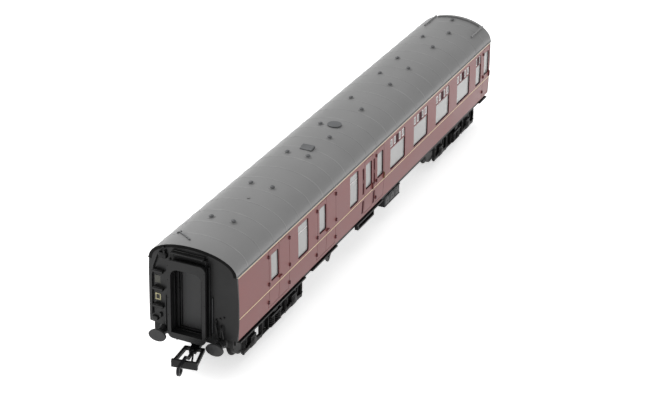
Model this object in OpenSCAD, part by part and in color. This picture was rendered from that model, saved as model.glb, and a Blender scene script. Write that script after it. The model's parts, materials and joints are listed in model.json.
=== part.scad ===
// Scale model of a 1950s brake corridor coach, 4 mm to the foot, for 16.5 mm gauge track.
// +X runs along the coach to the passenger end, -Y is the corridor side, and Z = 0 is the
// bottom of the wheel flanges. Every size is in millimetres.

/* [Body shell] */
// Length of the body over its bowed ends
body_length = 259; // [225:0.2:300]
// Width of the body at the waist
body_width = 36; // [33:0.2:40]
// Thickness of the side and end mouldings
wall = 1; // [0.8:0.1:1.5]
// Height of the bottom edge of the sides
sole_z = 16.75; // [16.5:0.05:18]
// Height of the waist, where the sides are widest
waist_z = 25.5; // [22:0.1:30]
// Height of the eaves, where the roof sits on the sides
eaves_z = 42.2; // [38:0.1:46]
// How much each side leans in at its bottom edge
sole_tuck = 0.4; // [0:0.05:1]
// How much each side leans in at the eaves
eaves_tuck = 0.55; // [0:0.05:1.2]
// How far the middle of each end bows out past its corners
end_bow = 1.6; // [0.5:0.1:3]
// Radius of the end's upright corners
corner_r = 0.9; // [0.4:0.1:2]

/* [Roof] */
// Height of the roof above the eaves
roof_rise = 9; // [7:0.1:12]
// Thickness of the roof moulding
roof_wall = 1; // [0.8:0.1:1.5]
// How far the roof stands out past the bowed ends
roof_overhang = 0.1; // [0:0.1:1]
// Distance from one roof rib to the next
rib_pitch = 10.4; // [8:0.1:14]
// Width of a roof rib
rib_w = 0.6; // [0.3:0.1:1]
// Height of a roof rib
rib_h = 0.07; // [0.05:0.01:0.3]
// Number of ribs on each half of the roof
ribs_each_half = 12; // [6:1:12]
// Distance of each row of ventilators from the centre line
vent_y = 4.4; // [3:0.1:7]
// Radius of a ventilator's hood
vent_r = 1; // [0.6:0.05:1.4]

/* [Windows and doors] */
// Height of the window sills
sill_z = 26.4; // [24:0.1:30]
// Height of the window heads
head_z = 40; // [36:0.1:42]
// Width of a compartment window
wide_window_w = 15.8; // [12:0.1:18]
// Distance between compartment windows
window_pitch = 25.4; // [22:0.1:28]
// Height of a droplight sill in a door
door_sill_z = 28.2; // [26:0.1:32]
// Width of a droplight in a door
droplight_w = 6.2; // [3:0.1:6.6]
// Radius of the window corners
window_r = 0.8; // [0.3:0.1:1.5]
// Width of one passenger door
door_w = 8.2; // [7:0.1:10]
// Width of one luggage door leaf
leaf_w = 8.6; // [7:0.1:10]
// Width of the slots that hold the handrails beside the guard's door
slot_w = 1.7; // [1:0.1:2]
// Depth of the handrail slots
slot_depth = 0.6; // [0.3:0.05:0.7]
// Depth of the panes behind the outside of the body
pane_depth = 0.5; // [0.2:0.05:1]
// Thickness of the clear glazing
glazing_t = 0.8; // [0.5:0.1:1.2]

/* [Gangways and buffers] */
// Width of the faceplate each side of the gangway's doorway
gangway_border = 1.4; // [1:0.1:2.5]
// Height of the top of the gangway faceplate
gangway_top_z = 46; // [42:0.1:48]
// Height of the bottom of the gangway faceplate
gangway_bottom_z = 14.8; // [14.2:0.1:17]
// How far the faceplate stands out past the end
gangway_reach = 3.4; // [2.5:0.1:5]
// Width of the doorway through the gangway
doorway_w = 12.4; // [9:0.1:14]
// Height of the doorway's threshold
doorway_z = 17.2; // [16:0.1:20]
// Height of the doorway's head
doorway_top_z = 42.6; // [38:0.1:45]
// Distance of each buffer from the centre line
buffer_y = 11.5; // [9:0.1:13]
// Height of the buffers
buffer_z = 14.8; // [13:0.1:17]
// How far the buffer faces stand out past the end
buffer_reach = 4.4; // [3:0.1:6]
// Width of an oval buffer head
buffer_head_w = 6.9; // [6:0.1:10]
// Height of an oval buffer head
buffer_head_h = 4.6; // [3.5:0.1:6]

/* [Running gear] */
// Distance between the bogie pivots
bogie_centres = 186; // [160:0.5:210]
// Distance between the two axles of a bogie
wheelbase = 34; // [28:0.5:40]
// Diameter of the wheels at the tread
wheel_d = 12.6; // [11:0.1:14]
// Depth of the wheel flanges
flange_depth = 1; // [0.6:0.05:1.5]
// Distance between the backs of the wheels on one axle
back_to_back = 14.5; // [14:0.05:15]
// Width of a wheel rim
tyre_w = 2.8; // [2.2:0.1:3.4]
// Diameter of the axles
axle_d = 2; // [1.5:0.1:3]
// Diameter of the journals at the axle ends
journal_d = 1.2; // [0.8:0.1:1.6]
// Radial clearance of a journal in its bearing
bearing_gap = 0.05; // [0.02:0.01:0.1]
// Distance of each bogie side frame's inner face from the centre line
frame_y = 12.6; // [11.5:0.1:14]

/* [Couplings] */
// Width of the coupling bar
bar_w = 9.6; // [8:0.1:12]
// Depth of the coupling bar from top to bottom
bar_h = 2.9; // [2:0.1:3.5]
// Height of the bottom of the coupling bar
bar_z = 9.1; // [8:0.1:11]
// Distance from the bogie pivot to the front of the coupling bar
bar_reach = 48.4; // [44:0.1:54]
// Distance from the bogie pivot to the point each coupling turns about in its mount
mount_x = 28; // [26:0.5:32]
// Angle that the brake-end coupling stands turned at in its mount
coupling_swing = 9.5; // [-10:0.5:10]

/* [Hidden] */

$fn = 48;
fit_gap = 0.1;       // gap between fixed mouldings that clip together
seat_gap = 0.05;     // gap under a piece that is glued on a curved face
over = 1;            // how far a cutting tool runs past what it cuts
side_steps = 10;     // flats in the curve of a side
roof_steps = 40;     // flats in the curve of the roof
bow_steps = 24;      // flats in the bow of an end
corner_steps = 6;    // flats in an upright corner

half_width = body_width / 2;
half_length = body_length / 2;
roof_z = eaves_z + roof_rise;
side_end_x = half_length - end_bow - corner_r;
side_length = 2 * side_end_x;
pivot_x = bogie_centres / 2;
axle_z = flange_depth + wheel_d / 2;
flange_r = axle_z;
bow_r = (pow(half_width, 2) + pow(end_bow, 2)) / (2 * end_bow);
gangway_w = doorway_w + 2 * gangway_border;

// Colours
maroon = [0.42, 0.2, 0.21];
roof_grey = [0.52, 0.53, 0.54];
black = [0.09, 0.09, 0.1];
dark_grey = [0.24, 0.25, 0.26];
clear_grey = [0.8, 0.83, 0.84, 0.6];
cream = [0.78, 0.76, 0.7];
steel = [0.6, 0.61, 0.63];
seat_blue = [0.3, 0.36, 0.45];

// ---- Sections and shared shapes ----

// Half width of the body at height z, measured in by inset
function half_at(z, inset) = half_width - inset
    - (z < waist_z ? sole_tuck * pow((waist_z - z) / (waist_z - sole_z), 2)
                   : eaves_tuck * pow((z - waist_z) / (eaves_z - waist_z), 2));

// Points up the side from z0 to z1 at one inset
function side_line(inset, z0, z1) =
    [for (i = [0:side_steps]) let (z = z0 + (z1 - z0) * i / side_steps) [half_at(z, inset), z]];

function reversed(list) = [for (i = [len(list) - 1:-1:0]) list[i]];

// Half width of the roof where it meets the eaves
roof_half = half_at(eaves_z, 0) + 0.1;

// Points over the roof from the +Y eaves to the -Y eaves, grown outward by grow
function roof_line(grow) =
    [for (i = [0:roof_steps]) let (a = 180 * i / roof_steps)
        [(roof_half + grow) * cos(a), eaves_z + (roof_rise + grow) * sin(a)]];

// Height of the roof's outer face at a distance y from the centre line
function roof_height(y) = eaves_z + roof_rise * sqrt(1 - pow(y / roof_half, 2));
// Slope angle of the roof at y
function roof_slope(y) = -atan(roof_rise * y / (roof_half * roof_half * sqrt(1 - pow(y / roof_half, 2))));

// How far the bowed end falls back at a distance y from the centre line
function bow_drop(y) = bow_r - sqrt(bow_r * bow_r - y * y);

// Extrudes a section drawn in (Y, Z) along X, centred on x = 0
module along_x(length) {
    rotate([90, 0, 90])
        linear_extrude(length, center = true)
            children();
}

// Extrudes a shape drawn in (X, Z) along Y from y0 to y1
module along_y(y0, y1) {
    translate([0, y1, 0])
        rotate([90, 0, 0])
            linear_extrude(y1 - y0)
                children();
}

// A layer of the +Y side between two insets
module side_layer(outer, inner, z0, z1) {
    polygon(concat(side_line(outer, z0, z1), reversed(side_line(inner, z0, z1))));
}

// A rectangle with rounded corners, centred on x and standing from z0 to z1
module rounded_panel(w, z0, z1, r) {
    translate([-w / 2 + r, z0])
        square([w - 2 * r, z1 - z0]);
    translate([-w / 2, z0 + r])
        square([w, z1 - z0 - 2 * r]);
    for (x = [-1, 1], z = [z0 + r, z1 - r])
        translate([x * (w / 2 - r), z])
            circle(r);
}

// A cylinder lying along Y, centred on y = 0
module rod_y(d, length) {
    rotate([90, 0, 0])
        cylinder(d = d, h = length, center = true);
}

// A cylinder lying along X, centred on x = 0
module rod_x(d, length) {
    rotate([0, 90, 0])
        cylinder(d = d, h = length, center = true);
}

// Places children at one end: +1 is the passenger end, -1 is the brake end turned about
module at_end(end) {
    rotate([0, 0, end > 0 ? 0 : 180])
        children();
}

// ---- Windows and doors: x places along the coach ----

first_window_x = 16.6;
wide_windows = [for (i = [0:3]) first_window_x + i * window_pitch];
end_window = [112.2, 6.6];
luggage_windows = [[-74.6, 9], [-27.8, 8.2]];
luggage_doors = [-95, -53.8];
guard_door_x = -13.4;
passenger_doors = [-1.8, 122.6];
leaf_light_inset = 0.5;
leaf_light_offset = leaf_light_inset + droplight_w / 2;

// Each window as [x, width, sill, head]
windows = concat(
    [for (x = wide_windows) [x, wide_window_w, sill_z, head_z]],
    [[end_window[0], end_window[1], sill_z, head_z]],
    [for (w = luggage_windows) [w[0], w[1], sill_z, head_z]],
    [for (x = luggage_doors) [x - leaf_light_offset, droplight_w, door_sill_z, head_z - 1]],
    [[guard_door_x, droplight_w, door_sill_z, head_z - 1]],
    [for (x = passenger_doors) [x, droplight_w, door_sill_z, head_z - 1]]);

door_line_w = 0.2;
door_line_depth = 0.2;
door_foot_z = sole_z + 1.2;
door_top_z = eaves_z - 1;
hinge_heights = [20.5, 28, 39];
hinge_places = concat([for (x = luggage_doors, leaf = [-1, 1]) x + leaf * leaf_w],
    [for (x = passenger_doors) x - door_w / 2]);
rail_offset = 5.5;
rail_spans = [[18.6, waist_z - 1.1], [waist_z + 1.7, 38.6]];

module door_outline(w) {
    difference() {
        translate([-w / 2, door_foot_z])
            square([w, door_top_z - door_foot_z]);
        translate([-w / 2 + door_line_w, door_foot_z + door_line_w])
            square([w - 2 * door_line_w, door_top_z - door_foot_z - 2 * door_line_w]);
    }
}

// Fine grooves around every door, cut to an even depth in the curved side
module door_grooves() {
    intersection() {
        along_x(side_length)
            side_layer(-over, door_line_depth, sole_z, eaves_z);
        along_y(0, half_width + over) {
            for (x = luggage_doors, leaf = [-1, 1])
                translate([x + leaf * (leaf_w - door_line_w) / 2, 0])
                    door_outline(leaf_w);
            for (x = concat(passenger_doors, [guard_door_x]))
                translate([x, 0])
                    door_outline(door_w);
        }
    }
}

// Upright slots each side of the guard's door, above and below the waist
module handrail_slots() {
    slot_r = 0.4;
    intersection() {
        along_x(side_length)
            side_layer(-over, slot_depth, sole_z, eaves_z);
        along_y(0, half_width + over)
            for (side = [-1, 1], span = rail_spans)
                translate([guard_door_x + side * rail_offset, 0])
                    rounded_panel(slot_w, span[0], span[1], slot_r);
    }
}

// A handrail standing in each of the slots
module handrails() {
    rail_w = 0.5;
    rail_inset = 0.08;
    for (side = [-1, 1], span = rail_spans)
        translate([guard_door_x + side * rail_offset, 0, 0])
            along_x(rail_w)
                side_layer(rail_inset, (wall + slot_depth) / 2, span[0] - rail_w / 2,
                    span[1] + rail_w / 2);
}

// A block moulded on the +Y side at x and z, standing out past its face
module fitting(x, z, w, h, out) {
    root = half_at(z, wall / 2);
    translate([x - w / 2, root, z - h / 2])
        cube([w, half_at(z, -out) - root, h]);
}

// Hinges and handles moulded on the doors of the +Y side
module door_fittings() {
    hinge_r = 0.45;
    hinge_h = 1.1;
    handle_z = 27.3;
    lever = [2.2, 0.45, 0.65];
    boss = [0.8, 0.8, 0.4];
    grip = [0.5, 2.4, 0.6];
    for (x = hinge_places, z = hinge_heights)
        translate([x, half_at(z, 0), z - hinge_h / 2])
            cylinder(r = hinge_r, h = hinge_h);
    for (x = luggage_doors) {
        fitting(x, handle_z, boss[0], boss[1], boss[2]);
        fitting(x + lever[0] / 4, handle_z, lever[0], lever[1], lever[2]);
    }
    for (x = concat(passenger_doors, [guard_door_x]))
        fitting(x + door_w / 2 - grip[0], handle_z, grip[0], grip[1], grip[2]);
}

// One whole side, drawn on +Y
module side_panel() {
    difference() {
        along_x(side_length)
            side_layer(0, wall, sole_z, eaves_z);
        along_y(0, half_width + over)
            for (w = windows)
                translate([w[0], 0])
                    rounded_panel(w[1], w[2], w[3], window_r);
        door_grooves();
        handrail_slots();
    }
    handrails();
    door_fittings();
}

// A clear strip behind the windows, with a block that fills the back of each opening
module glazing_strip() {
    strip_z0 = sill_z - 1;
    strip_z1 = head_z + 1;
    back = wall + fit_gap;
    ends = [-side_end_x + 4, side_end_x - 1.6];
    translate([(ends[0] + ends[1]) / 2, 0, 0])
        along_x(ends[1] - ends[0])
            side_layer(back, back + glazing_t, strip_z0, strip_z1);
    intersection() {
        along_x(side_length)
            side_layer(pane_depth, back + glazing_t / 2, strip_z0, strip_z1);
        along_y(0, half_width)
            for (w = windows)
                translate([w[0], 0])
                    rounded_panel(w[1] - 2 * fit_gap, w[2] + fit_gap, w[3] - fit_gap,
                        window_r - fit_gap);
    }
}

// ---- Roof ----

// Points across the bowed +X end between y = -reach and y = reach, moved out by grow
function bow_line(reach, grow) =
    [for (i = [0:bow_steps]) let (y = reach * (2 * i / bow_steps - 1))
        [half_length + grow - bow_drop(y), y]];

// Plan of the bowed body, with each end moved out by grow
module bowed_plan(grow) {
    reach = half_width + over;
    far_end = bow_line(reach, grow);
    polygon(concat(far_end, [for (p = far_end) [-p[0], -p[1]]]));
}

// Cuts children back to stand just clear of the bowed ends
module outside_ends() {
    difference() {
        children();
        linear_extrude(roof_z)
            bowed_plan(seat_gap);
    }
}

// Cuts children back to stand just clear of the ribbed roof
module on_roof() {
    difference() {
        children();
        along_x(body_length)
            polygon(roof_line(rib_h + seat_gap));
    }
}

module roof() {
    gutter = [0.3, 0.35];
    color(roof_grey) {
        intersection() {
            union() {
                along_x(body_length + 4 * over)
                    polygon(concat(roof_line(0), reversed(roof_line(-roof_wall))));
                for (side = [0, 1])
                    mirror([0, side, 0])
                        along_x(body_length + 4 * over)
                            translate([roof_half - roof_wall / 2, eaves_z])
                                square([roof_wall / 2 + gutter[0], gutter[1]]);
                for (end = [-1, 1], i = [0:ribs_each_half - 1])
                    translate([end * rib_pitch * (i + 0.5), 0, 0])
                        along_x(rib_w)
                            polygon(concat(roof_line(rib_h), reversed(roof_line(-roof_wall / 2))));
            }
            linear_extrude(roof_z + over)
                bowed_plan(roof_overhang);
        }
    }
}

// Places children on the roof's surface at x and y, square to its slope
module stand_on_roof(x, y) {
    translate([x, y, roof_height(y) + rib_h + seat_gap])
        rotate([roof_slope(y), 0, 0])
            children();
}

vents_left = [-105.4, -74, -43, -12.5, 17.6, 48, 67.5, 97];
vents_right = [-105.4, -74, -43, -23, 8.3, 38.2, 58.6, 87, 106.8];
middle_vent_x = 122.5;

// A hooded ventilator: a short neck under a low dome
module ventilator() {
    neck_h = 0.45;
    dome_h = 0.5;
    dome_r = (vent_r * vent_r + dome_h * dome_h) / (2 * dome_h);
    cylinder(r = vent_r * 0.7, h = neck_h);
    translate([0, 0, neck_h])
        intersection() {
            translate([0, 0, dome_h - dome_r])
                sphere(dome_r);
            cylinder(r = vent_r, h = dome_h);
        }
}

module roof_vents() {
    color(dark_grey) {
        for (x = vents_left)
            stand_on_roof(x, vent_y)
                ventilator();
        for (x = vents_right)
            stand_on_roof(x, -vent_y)
                ventilator();
        stand_on_roof(middle_vent_x, 0)
            ventilator();
    }
}

hatch_y = -1.2;
periscope_x = -36.6;
tank_hatch_x = -11.2;

module roof_hatches() {
    lid_h = 0.9;
    periscope = [3.6, 5];
    hatch_r = 2.9;
    color(dark_grey)
        on_roof() {
            translate([periscope_x, hatch_y, roof_z - over])
                along_y(-periscope[1] / 2, periscope[1] / 2)
                    polygon([[-periscope[0] / 2, 0], [periscope[0] / 2, 0],
                        [periscope[0] / 2, over + lid_h], [0, over + lid_h],
                        [-periscope[0] / 2, over + lid_h / 3]]);
            translate([tank_hatch_x, hatch_y, roof_z - over])
                cylinder(r = hatch_r, h = over + lid_h / 2);
        }
}

pipe_d = 0.7;

module roof_pipes() {
    filler_x = [113, 127.6];
    cross_x = 126.4;
    color(roof_grey) {
        for (y = [-13.2, 9.8])
            translate([(filler_x[0] + filler_x[1]) / 2, y,
                roof_height(abs(y) - pipe_d / 2) + rib_h + seat_gap + pipe_d / 2])
                rod_x(pipe_d, filler_x[1] - filler_x[0]);
        intersection() {
            translate([cross_x, 0, 0])
                along_x(pipe_d)
                    polygon(concat(roof_line(rib_h + seat_gap + pipe_d),
                        reversed(roof_line(rib_h + seat_gap))));
            translate([cross_x - over, -12, eaves_z])
                cube([2 * over, 20.4, roof_rise + 2 * over]);
        }
    }
}

// ---- Sides, ends and glazing ----

module side_corridor() {
    color(maroon)
        mirror([0, 1, 0])
            side_panel();
}

module side_compartment() {
    color(maroon)
        side_panel();
}

module glazing_corridor() {
    color(clear_grey)
        mirror([0, 1, 0])
            glazing_strip();
}

module glazing_compartment() {
    color(clear_grey)
        glazing_strip();
}

// Section across an end moulding from foot_z up, measured in by inset and chamfered at the eaves
module end_section(inset, foot_z) {
    right = side_line(inset, foot_z, eaves_z - inset);
    over_roof = roof_line(-roof_wall - fit_gap - inset);
    polygon(concat(right, over_roof, [for (p = reversed(right)) [-p[0], p[1]]]));
}

// Points round one upright corner, from the bow to the side
function corner_line(corner_y) = let (corner_x = half_length - bow_drop(corner_y) - corner_r)
    [for (i = [1:corner_steps]) let (a = 90 * i / corner_steps)
        [corner_x + corner_r * cos(a), corner_y + corner_r * sin(a)]];

// Plan of one end with its upright corners rounded
module end_plan() {
    corner_y = half_width - corner_r;
    corner = corner_line(corner_y);
    polygon(concat([[side_end_x, -half_width]], [for (p = reversed(corner)) [p[0], -p[1]]],
        bow_line(corner_y, 0), corner, [[side_end_x, half_width]]));
}

// The doorway through an end and its gangway, round at the head and square at the threshold
module doorway(grow) {
    head_r = 2.9;
    rounded_panel(doorway_w + 2 * grow, doorway_z - grow, doorway_top_z + grow, head_r + grow);
    translate([-doorway_w / 2 - grow, doorway_z - grow])
        square([doorway_w + 2 * grow, 2 * head_r]);
}

// One bowed end with its doorway, drawn at +X
module end_moulding() {
    depth = 4 * (end_bow + corner_r);
    difference() {
        intersection() {
            translate([half_length, 0, 0])
                along_x(depth)
                    end_section(0, sole_z);
            linear_extrude(roof_z)
                end_plan();
        }
        intersection() {
            translate([half_length, 0, 0])
                along_x(depth + over)
                    end_section(wall, sole_z - over);
            linear_extrude(roof_z)
                bowed_plan(-wall);
        }
        translate([half_length, 0, 0])
            along_x(depth)
                doorway(0);
    }
}

module brake_end() {
    color(black)
        at_end(-1)
            end_moulding();
}

module passenger_end() {
    color(black)
        at_end(1)
            end_moulding();
}

// A corridor connection with its rear frame, folded bellows and faceplate, drawn at +X
module gangway() {
    face_t = 0.7;
    rear_t = 0.8;
    sleeve_wall = 0.5;
    fold_depth = 0.4;
    folds = 3;
    face_r = 2.2;
    fold_pitch = (gangway_reach - face_t - rear_t) / folds;
    sleeve_w = doorway_w + 2 * sleeve_wall;
    color(black)
        outside_ends()
            difference() {
                translate([half_length - over, 0, 0]) {
                    translate([(over + gangway_reach - face_t / 2) / 2, 0, 0])
                        along_x(over + gangway_reach - face_t / 2)
                            rounded_panel(sleeve_w, gangway_bottom_z + 1 + fold_depth,
                                gangway_top_z - 0.6 - fold_depth, face_r - 0.6);
                    translate([(over + rear_t) / 2, 0, 0])
                        along_x(over + rear_t)
                            rounded_panel(sleeve_w + fold_depth, gangway_bottom_z + 0.6,
                                gangway_top_z + 1.6, 0.4);
                    for (i = [0:folds - 1])
                        translate([over + rear_t + (i + 0.5) * fold_pitch, 0, 0])
                            along_x(fold_pitch / 2)
                                rounded_panel(sleeve_w + 2 * fold_depth, gangway_bottom_z + 1,
                                    gangway_top_z - 0.6, face_r - 0.6);
                    translate([over + gangway_reach - face_t / 2, 0, 0])
                        along_x(face_t)
                            rounded_panel(gangway_w, gangway_bottom_z, gangway_top_z, face_r);
                }
                translate([half_length, 0, 0])
                    along_x(4 * gangway_reach)
                        doorway(0);
            }
}

module gangway_brake() {
    at_end(-1)
        gangway();
}

module gangway_passenger() {
    at_end(1)
        gangway();
}

module gangway_doors() {
    door_t = 0.6;
    color(dark_grey)
        for (end = [-1, 1])
            at_end(end)
                intersection() {
                    difference() {
                        linear_extrude(roof_z)
                            bowed_plan(-wall - seat_gap);
                        linear_extrude(roof_z)
                            bowed_plan(-wall - seat_gap - door_t);
                    }
                    translate([half_length, 0, 0])
                        along_x(4 * (end_bow + wall))
                            doorway(4 * fit_gap);
                }
}

// Steps up the end and the pipes and bracket beside the gangway, drawn at +X
module end_fittings() {
    step_size = [1.8, 4.2, 0.7];
    step_y = -13;
    pipe_ys = [9.9, 11.6];
    pipe_tops = [24.5, 21.5];
    pipe_x = half_length + seat_gap + pipe_d / 2;
    pipe_foot_z = sole_z + 1;
    color(black)
        outside_ends() {
            for (z = [24.2, 31.2, 38.2])
                translate([half_length - step_size[0] / 2, step_y - step_size[1] / 2, z])
                    cube([step_size[0], step_size[1], step_size[2]]);
            for (i = [0, 1])
                translate([pipe_x - bow_drop(pipe_ys[i] - pipe_d), pipe_ys[i], pipe_foot_z])
                    cylinder(d = pipe_d, h = pipe_tops[i] - pipe_foot_z);
        }
}

module end_fittings_brake() {
    at_end(-1)
        end_fittings();
}

module end_fittings_passenger() {
    at_end(1)
        end_fittings();
}

// ---- Underframe ----

floor_t = 1.9;
floor_top_z = sole_z + 0.65;
floor_z = floor_top_z - floor_t;
floor_half = half_at(sole_z, wall + fit_gap);
headstock_x = side_end_x - 0.5;
headstock_t = 1.3;
headstock_z = 13.3;
boss_h = 1.1;
boss_r = 3;
solebar_t = 0.8;
solebar_y = 15.4;
solebar_z = 13.9;

module underframe() {
    color(black) {
        translate([-headstock_x + fit_gap, -floor_half, floor_z])
            cube([2 * (headstock_x - fit_gap), 2 * floor_half, floor_t]);
        for (end = [-1, 1])
            translate([end * pivot_x, 0, floor_z - boss_h])
                cylinder(r = boss_r, h = boss_h);
    }
}

// A long bar under each edge of the floor, with a V-shaped brake hanger
module solebars() {
    hanger_x = -47.5;
    hanger_top_w = 6.4;
    hanger_foot_w = 1.2;
    hanger_foot_z = 10.4;
    color(black)
        for (side = [0, 1])
            mirror([0, side, 0])
                along_y(solebar_y, solebar_y + solebar_t) {
                    translate([-headstock_x + fit_gap, solebar_z])
                        square([2 * (headstock_x - fit_gap), floor_z - solebar_z]);
                    difference() {
                        polygon([[hanger_x - hanger_top_w / 2, solebar_z],
                            [hanger_x - hanger_foot_w / 2, hanger_foot_z],
                            [hanger_x + hanger_foot_w / 2, hanger_foot_z],
                            [hanger_x + hanger_top_w / 2, solebar_z]]);
                        polygon([[hanger_x - hanger_top_w / 4, solebar_z],
                            [hanger_x, hanger_foot_z + 1.4],
                            [hanger_x + hanger_top_w / 4, solebar_z]]);
                    }
                }
}

module headstocks() {
    headstock_half = 15.8;
    color(black)
        for (end = [-1, 1])
            at_end(end)
                translate([headstock_x, -headstock_half, headstock_z])
                    cube([headstock_t, 2 * headstock_half, sole_z - headstock_z]);
}

module oval(w, h) {
    polygon([for (a = [0:10:350]) [w / 2 * cos(a), h / 2 * sin(a)]]);
}

// Both buffers of one end, each a housing, a ram and an oval head, drawn at +X
module buffers() {
    housing_d = 3;
    ram_d = 2;
    head_t = 0.8;
    back_x = headstock_x + headstock_t;
    face_x = half_length + buffer_reach;
    housing_l = (face_x - back_x) / 2;
    color(black)
        for (y = [-1, 1])
            translate([back_x, y * buffer_y, buffer_z]) {
                rotate([0, 90, 0])
                    cylinder(d = housing_d, h = housing_l);
                rotate([0, 90, 0])
                    cylinder(d = ram_d, h = face_x - back_x - head_t / 2);
                translate([face_x - back_x - head_t / 2, 0, 0])
                    along_x(head_t)
                        oval(buffer_head_w, buffer_head_h);
            }
}

module buffers_brake() {
    at_end(-1)
        buffers();
}

module buffers_passenger() {
    at_end(1)
        buffers();
}

// ---- Inside the body ----

ballast_t = 1.6;
ballast_w = 22;
ballast_length = 170;
inner_floor_z = floor_top_z + ballast_t;
inner_floor_t = 0.6;
inner_half = half_at(eaves_z, wall + glazing_t + 3 * fit_gap);
inner_top_z = eaves_z - 0.5;
inner_wall_t = 0.8;
corridor_y = -8.6;

module ballast_weight() {
    color(steel)
        translate([-ballast_length / 2, -ballast_w / 2, floor_top_z])
            cube([ballast_length, ballast_w, ballast_t]);
}

// Cross walls between the compartments, as x places
cross_walls = [for (i = [0:4]) first_window_x + (i - 0.5) * window_pitch];
full_walls = [-34, -6.8, 117];

module corridor_wall() {
    wall_x0 = cross_walls[0] - inner_wall_t / 2;
    wall_x1 = cross_walls[4] + inner_wall_t / 2;
    light_w = 6;
    color(cream)
        mirror([0, 1, 0])
            along_y(-corridor_y, -corridor_y + inner_wall_t)
                difference() {
                    translate([wall_x0, inner_floor_z + inner_floor_t])
                        square([wall_x1 - wall_x0, inner_top_z - inner_floor_z - inner_floor_t]);
                    for (x = wide_windows, k = [-1, 0, 1])
                        translate([x + k * (light_w + 1), 0])
                            rounded_panel(light_w, sill_z, head_z, window_r);
                }
}

// The inner floor with the walls that cross it
module compartment_walls() {
    wall_h = inner_top_z - inner_floor_z - inner_floor_t;
    floor_reach = side_end_x - 3;
    color(cream) {
        translate([-floor_reach, -inner_half, inner_floor_z])
            cube([2 * floor_reach, 2 * inner_half, inner_floor_t]);
        for (x = cross_walls)
            translate([x - inner_wall_t / 2, corridor_y, inner_floor_z + inner_floor_t])
                cube([inner_wall_t, inner_half - corridor_y, wall_h]);
        for (x = full_walls)
            translate([x, -inner_half, inner_floor_z + inner_floor_t])
                cube([inner_wall_t, 2 * inner_half, wall_h]);
    }
}

// Facing benches in each compartment
module compartment_seats() {
    seat_depth = 6;
    seat_h = 6;
    back_t = 1.6;
    back_h = 15;
    seat_y0 = corridor_y + fit_gap;
    seat_y1 = inner_half - fit_gap;
    bench = [[0, 0], [seat_depth, 0], [seat_depth, seat_h], [back_t, seat_h - 0.4],
        [back_t * 0.8, back_h], [0, back_h]];
    color(seat_blue)
        for (x = wide_windows, facing = [0, 1])
            translate([x, 0, inner_floor_z + inner_floor_t])
                mirror([facing, 0, 0])
                    translate([-window_pitch / 2 + inner_wall_t / 2, 0, 0])
                        along_y(seat_y0, seat_y1)
                            polygon(bench);
}

// ---- Equipment under the floor ----

truss_y = 7.5;
truss_t = 0.8;

// A trussed frame each side of the centre line, divided by posts
module trusses() {
    top_half = 62;
    foot_half = 44;
    foot_z = 10.8;
    bar = 0.8;
    posts = [-44, -22, 0, 22, 44];
    color(black)
        for (side = [0, 1])
            mirror([0, side, 0])
                along_y(truss_y, truss_y + truss_t) {
                    difference() {
                        polygon([[-top_half, floor_z], [-foot_half, foot_z], [foot_half, foot_z],
                            [top_half, floor_z]]);
                        polygon([[-top_half + 3 * bar, floor_z - bar], [-foot_half, foot_z + bar],
                            [foot_half, foot_z + bar], [top_half - 3 * bar, floor_z - bar]]);
                    }
                    for (x = posts)
                        translate([x - bar / 2, foot_z])
                            square([bar, floor_z - foot_z]);
                }
}

module battery_boxes() {
    box_x = [8.4, 24.2];
    box_y = [truss_y + truss_t + 0.3, solebar_y + solebar_t];
    box_foot_z = 9;
    color(dark_grey)
        for (side = [0, 1])
            mirror([0, side, 0])
                translate([box_x[0], box_y[0], box_foot_z])
                    cube([box_x[1] - box_x[0], box_y[1] - box_y[0], solebar_z - box_foot_z]);
}

module vacuum_cylinders() {
    cylinder_r = 3.4;
    foot_z = 9.6;
    color(black)
        for (x = [-31, 33])
            translate([x, 0, foot_z])
                cylinder(r = cylinder_r, h = floor_z - foot_z);
}

module dynamo() {
    dynamo_d = 5;
    dynamo_l = 6;
    dynamo_x = -55;
    dynamo_z = 11.6;
    hanger_w = 1.6;
    color(black)
        translate([dynamo_x, 0, dynamo_z]) {
            rod_y(dynamo_d, dynamo_l);
            translate([-hanger_w / 2, -dynamo_l / 4, 0])
                cube([hanger_w, dynamo_l / 2, floor_z - dynamo_z]);
        }
}

// Boards along the solebars under the doors, and the guard's lower step
module footboards() {
    board_t = 0.6;
    board_z = floor_z - board_t;
    board_w = 1.6;
    boards = [[-125.5, -71.5], [-65.5, -42.5], [-23.5, 3], [117.5, 126.4]];
    guard_step = [-22.5, -6.5];
    guard_step_z = 12.7;
    color(black)
        for (side = [0, 1])
            mirror([0, side, 0])
                translate([0, solebar_y + solebar_t, 0]) {
                    for (b = boards)
                        translate([b[0], 0, board_z])
                            cube([b[1] - b[0], board_w, board_t]);
                    translate([guard_step[0], 0, guard_step_z])
                        cube([guard_step[1] - guard_step[0], board_w, board_t]);
                    for (x = [guard_step[0], guard_step[1] - board_t])
                        translate([x, 0, guard_step_z])
                            cube([board_t, board_w, board_z - guard_step_z]);
                }
}

// ---- Bogies ----

bogie_gap = 0.2;
pin_d = 2.8;
pin_head_d = 4.6;
transom_z = 11.4;
transom_t = 1.2;
transom_half = 5;
bolster_top_z = floor_z - boss_h - bogie_gap;
frame_top_z = solebar_z - 0.5;
frame_t = 1.2;
axlebox_reach = 1.3;
tongue_half = 3;
tongue_x = 24.5;
shank_h = 1.4;

// Places children on one bogie, whose own +X points to the nearer end of the coach
module on_bogie(end) {
    at_end(end)
        translate([pivot_x, 0, 0])
            children();
}

// Places children on one coupling, turned in its mount at the brake end
module on_coupling(end) {
    on_bogie(end)
        translate([mount_x, 0, 0])
            rotate([0, 0, end < 0 ? coupling_swing : 0])
                translate([-mount_x, 0, 0])
                    children();
}

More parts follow.
